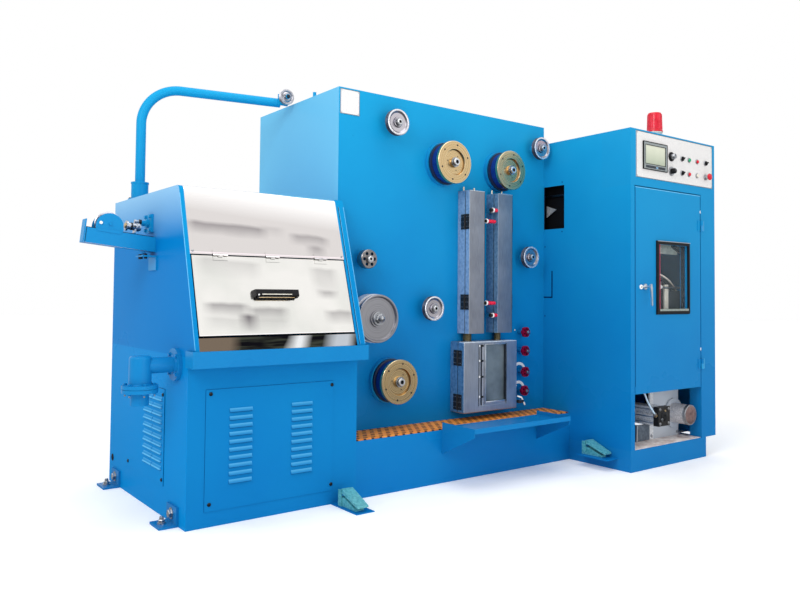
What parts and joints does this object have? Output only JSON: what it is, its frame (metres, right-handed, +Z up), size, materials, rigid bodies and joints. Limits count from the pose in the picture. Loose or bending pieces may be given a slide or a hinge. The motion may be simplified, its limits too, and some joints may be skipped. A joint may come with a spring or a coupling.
{
  "type": "wire drawing machine",
  "caption": "Fine wire drawing machine with a covered drawing chamber, upright annealer, guide and contact wheels and a take-up cabinet with door.",
  "frame": {"origin": "on the floor under the middle of the drawing cabinet, on its underside", "axes": "X right along the machine's front, Y towards its back, Z up"},
  "size_m": [3.4519, 1.586, 2.076],
  "materials": {
    "blue_paint": "glossy medium blue enamel",
    "stainless": "mirror polished stainless sheet",
    "grey_steel": "brushed grey steel sheet",
    "turned_steel": "turned steel",
    "brass_wheel": "machined brass",
    "pulley_alloy": "turned light alloy",
    "red_plastic": "glossy red moulding",
    "beacon_red": "red lens moulding",
    "black_plastic": "matt black",
    "orange_mat": "ribbed orange mat",
    "plate_grey": "light grey plate",
    "panel_grey": "light grey panel",
    "glass": "clear pane",
    "hose": "pale blue air hose",
    "pedal_teal": "teal hammered paint",
    "cast_grey": "grey cast iron"
  },
  "bodies": {
    "frame": {"drawing_base": "blue_paint", "housing_cheeks": "blue_paint", "housing_top": "blue_paint", "fixed_covers": "stainless", "splash_lip": "blue_paint", "access_panels": "blue_paint", "drawing_cones": "turned_steel", "foot_brackets": "blue_paint", "centre_base": "blue_paint", "centre_box": "blue_paint", "ledge_mat": "orange_mat", "tray": "blue_paint", "face_plates": "plate_grey", "anneal_channels": "grey_steel", "cover_latches": "red_plastic", "cooling_tank": "grey_steel", "wheel_mounts": "turned_steel", "spooler_plinth": "blue_paint", "spooler_left_wall": "blue_paint", "spooler_right_wall": "blue_paint", "spooler_back_wall": "blue_paint", "spooler_head": "blue_paint", "control_panel": "panel_grey", "panel_controls": "black_plastic", "beacon": "beacon_red", "door_hinges": "blue_paint", "spool_spindle": "turned_steel", "lift_drive": "turned_steel", "air_hose": "hose", "bent_pipe": "blue_paint", "entry_arm": "blue_paint", "drain_elbow": "blue_paint", "pedal_plates": "blue_paint"},
    "drawing_cover": {"lower_cover": "stainless", "cover_handle": "black_plastic"},
    "take_up_door": {"spooler_door": "blue_paint", "window_frame": "black_plastic", "window_glass": "glass"},
    "door_lever": {"door_handle": "turned_steel"},
    "left_channel_cover": {"anneal_cover_left": "grey_steel"},
    "right_channel_cover": {"anneal_cover_right": "grey_steel"},
    "tank_cover": {"tank_door": "grey_steel"},
    "pulley_1": {"guide_pulley_1": "pulley_alloy"},
    "pulley_2": {"guide_pulley_2": "pulley_alloy"},
    "pulley_3": {"guide_pulley_3": "pulley_alloy"},
    "pulley_4": {"guide_pulley_4": "pulley_alloy"},
    "contact_1": {"contact_wheel_1": "brass_wheel"},
    "contact_2": {"contact_wheel_2": "brass_wheel"},
    "contact_3": {"contact_wheel_3": "brass_wheel"},
    "roller": {"drilled_roller": "turned_steel"},
    "capstan_wheel": {"capstan": "turned_steel"},
    "valve_1": {"handwheel_1": "red_plastic"},
    "valve_2": {"handwheel_2": "red_plastic"},
    "valve_3": {"handwheel_3": "red_plastic"},
    "valve_4": {"handwheel_4": "red_plastic"},
    "spool": {"take_up_spool": "cast_grey"},
    "arm_wheel": {"arm_pulley": "pulley_alloy"},
    "entry_wheel": {"entry_pulley": "cast_grey"},
    "pedal_1": {"foot_pedal_1": "pedal_teal"},
    "pedal_2": {"foot_pedal_2": "pedal_teal"}
  },
  "joints": [
    {"name": "drawing_cover_hinge", "type": "hinge", "parent": "frame", "child": "drawing_cover", "pos_m": [-0.01, -0.44888, 1.125], "axis": [-1, 0, 0], "range_deg": [0, 95]},
    {"name": "take_up_door_hinge", "type": "hinge", "parent": "frame", "child": "take_up_door", "pos_m": [2.5915, -0.949, 1], "axis": [0, 0, 1], "range_deg": [0, 110]},
    {"name": "door_lever_turn", "type": "hinge", "parent": "take_up_door", "child": "door_lever", "pos_m": [2.029, -0.96, 1.018], "axis": [0, -1, 0], "range_deg": [0, 80]},
    {"name": "left_channel_cover_hinge", "type": "hinge", "parent": "frame", "child": "left_channel_cover", "pos_m": [1.209, -0.3525, 1.15], "axis": [0, 0, -1], "range_deg": [0, 110]},
    {"name": "right_channel_cover_hinge", "type": "hinge", "parent": "frame", "child": "right_channel_cover", "pos_m": [1.549, -0.3525, 1.15], "axis": [0, 0, 1], "range_deg": [0, 110]},
    {"name": "tank_cover_hinge", "type": "hinge", "parent": "frame", "child": "tank_cover", "pos_m": [1.161, -0.3525, 0.512], "axis": [0, 0, -1], "range_deg": [0, 110]},
    {"name": "pulley_1_spin", "type": "hinge", "parent": "frame", "child": "pulley_1", "pos_m": [0.739, -0.356, 1.856], "axis": [0, 1, 0], "continuous": true},
    {"name": "pulley_2_spin", "type": "hinge", "parent": "frame", "child": "pulley_2", "pos_m": [1.813, -0.356, 1.853], "axis": [0, 1, 0], "continuous": true},
    {"name": "pulley_3_spin", "type": "hinge", "parent": "frame", "child": "pulley_3", "pos_m": [1.722, -0.356, 1.19], "axis": [0, 1, 0], "continuous": true},
    {"name": "pulley_4_spin", "type": "hinge", "parent": "frame", "child": "pulley_4", "pos_m": [0.987, -0.356, 0.89], "axis": [0, 1, 0], "continuous": true},
    {"name": "contact_1_spin", "type": "hinge", "parent": "frame", "child": "contact_1", "pos_m": [1.094, -0.361, 1.683], "axis": [0, 1, 0], "continuous": true},
    {"name": "contact_2_spin", "type": "hinge", "parent": "frame", "child": "contact_2", "pos_m": [1.521, -0.361, 1.684], "axis": [0, 1, 0], "continuous": true},
    {"name": "contact_3_spin", "type": "hinge", "parent": "frame", "child": "contact_3", "pos_m": [0.738, -0.361, 0.519], "axis": [0, 1, 0], "continuous": true},
    {"name": "roller_spin", "type": "hinge", "parent": "frame", "child": "roller", "pos_m": [0.566, -0.35, 1.14], "axis": [0, 1, 0], "continuous": true},
    {"name": "capstan_spin", "type": "hinge", "parent": "frame", "child": "capstan_wheel", "pos_m": [0.572, -0.41, 0.844], "axis": [0, 1, 0], "continuous": true},
    {"name": "spool_spin", "type": "hinge", "parent": "frame", "child": "spool", "pos_m": [2.275, -0.62, 0.8], "axis": [0, 1, 0], "continuous": true},
    {"name": "arm_pulley_spin", "type": "hinge", "parent": "frame", "child": "arm_wheel", "pos_m": [0.376, 0.176, 2.034], "axis": [0, 1, 0], "continuous": true},
    {"name": "entry_pulley_spin", "type": "hinge", "parent": "frame", "child": "entry_wheel", "pos_m": [-0.5987, -0.04, 1.26121], "axis": [0, 1, 0], "continuous": true},
    {"name": "valve_1_turn", "type": "hinge", "parent": "frame", "child": "valve_1", "pos_m": [1.701, -0.34, 0.746], "axis": [0, 1, 0], "range_deg": [0, 720]},
    {"name": "valve_2_turn", "type": "hinge", "parent": "frame", "child": "valve_2", "pos_m": [1.699, -0.34, 0.635], "axis": [0, 1, 0], "range_deg": [0, 720]},
    {"name": "valve_3_turn", "type": "hinge", "parent": "frame", "child": "valve_3", "pos_m": [1.699, -0.34, 0.511], "axis": [0, 1, 0], "range_deg": [0, 180]},
    {"name": "valve_4_turn", "type": "hinge", "parent": "frame", "child": "valve_4", "pos_m": [1.693, -0.34, 0.401], "axis": [0, 1, 0], "range_deg": [0, 180]},
    {"name": "pedal_1_press", "type": "hinge", "parent": "frame", "child": "pedal_1", "pos_m": [0.32, -0.558, 0.066], "axis": [1, 0, 0], "range_deg": [0, 4], "stiffness_Nm_per_rad": 40, "springref_deg": -2.86},
    {"name": "pedal_2_press", "type": "hinge", "parent": "frame", "child": "pedal_2", "pos_m": [1.874, -0.663, 0.128], "axis": [1, 0, 0], "range_deg": [0, 4], "stiffness_Nm_per_rad": 40, "springref_deg": -2.86}
  ]
}
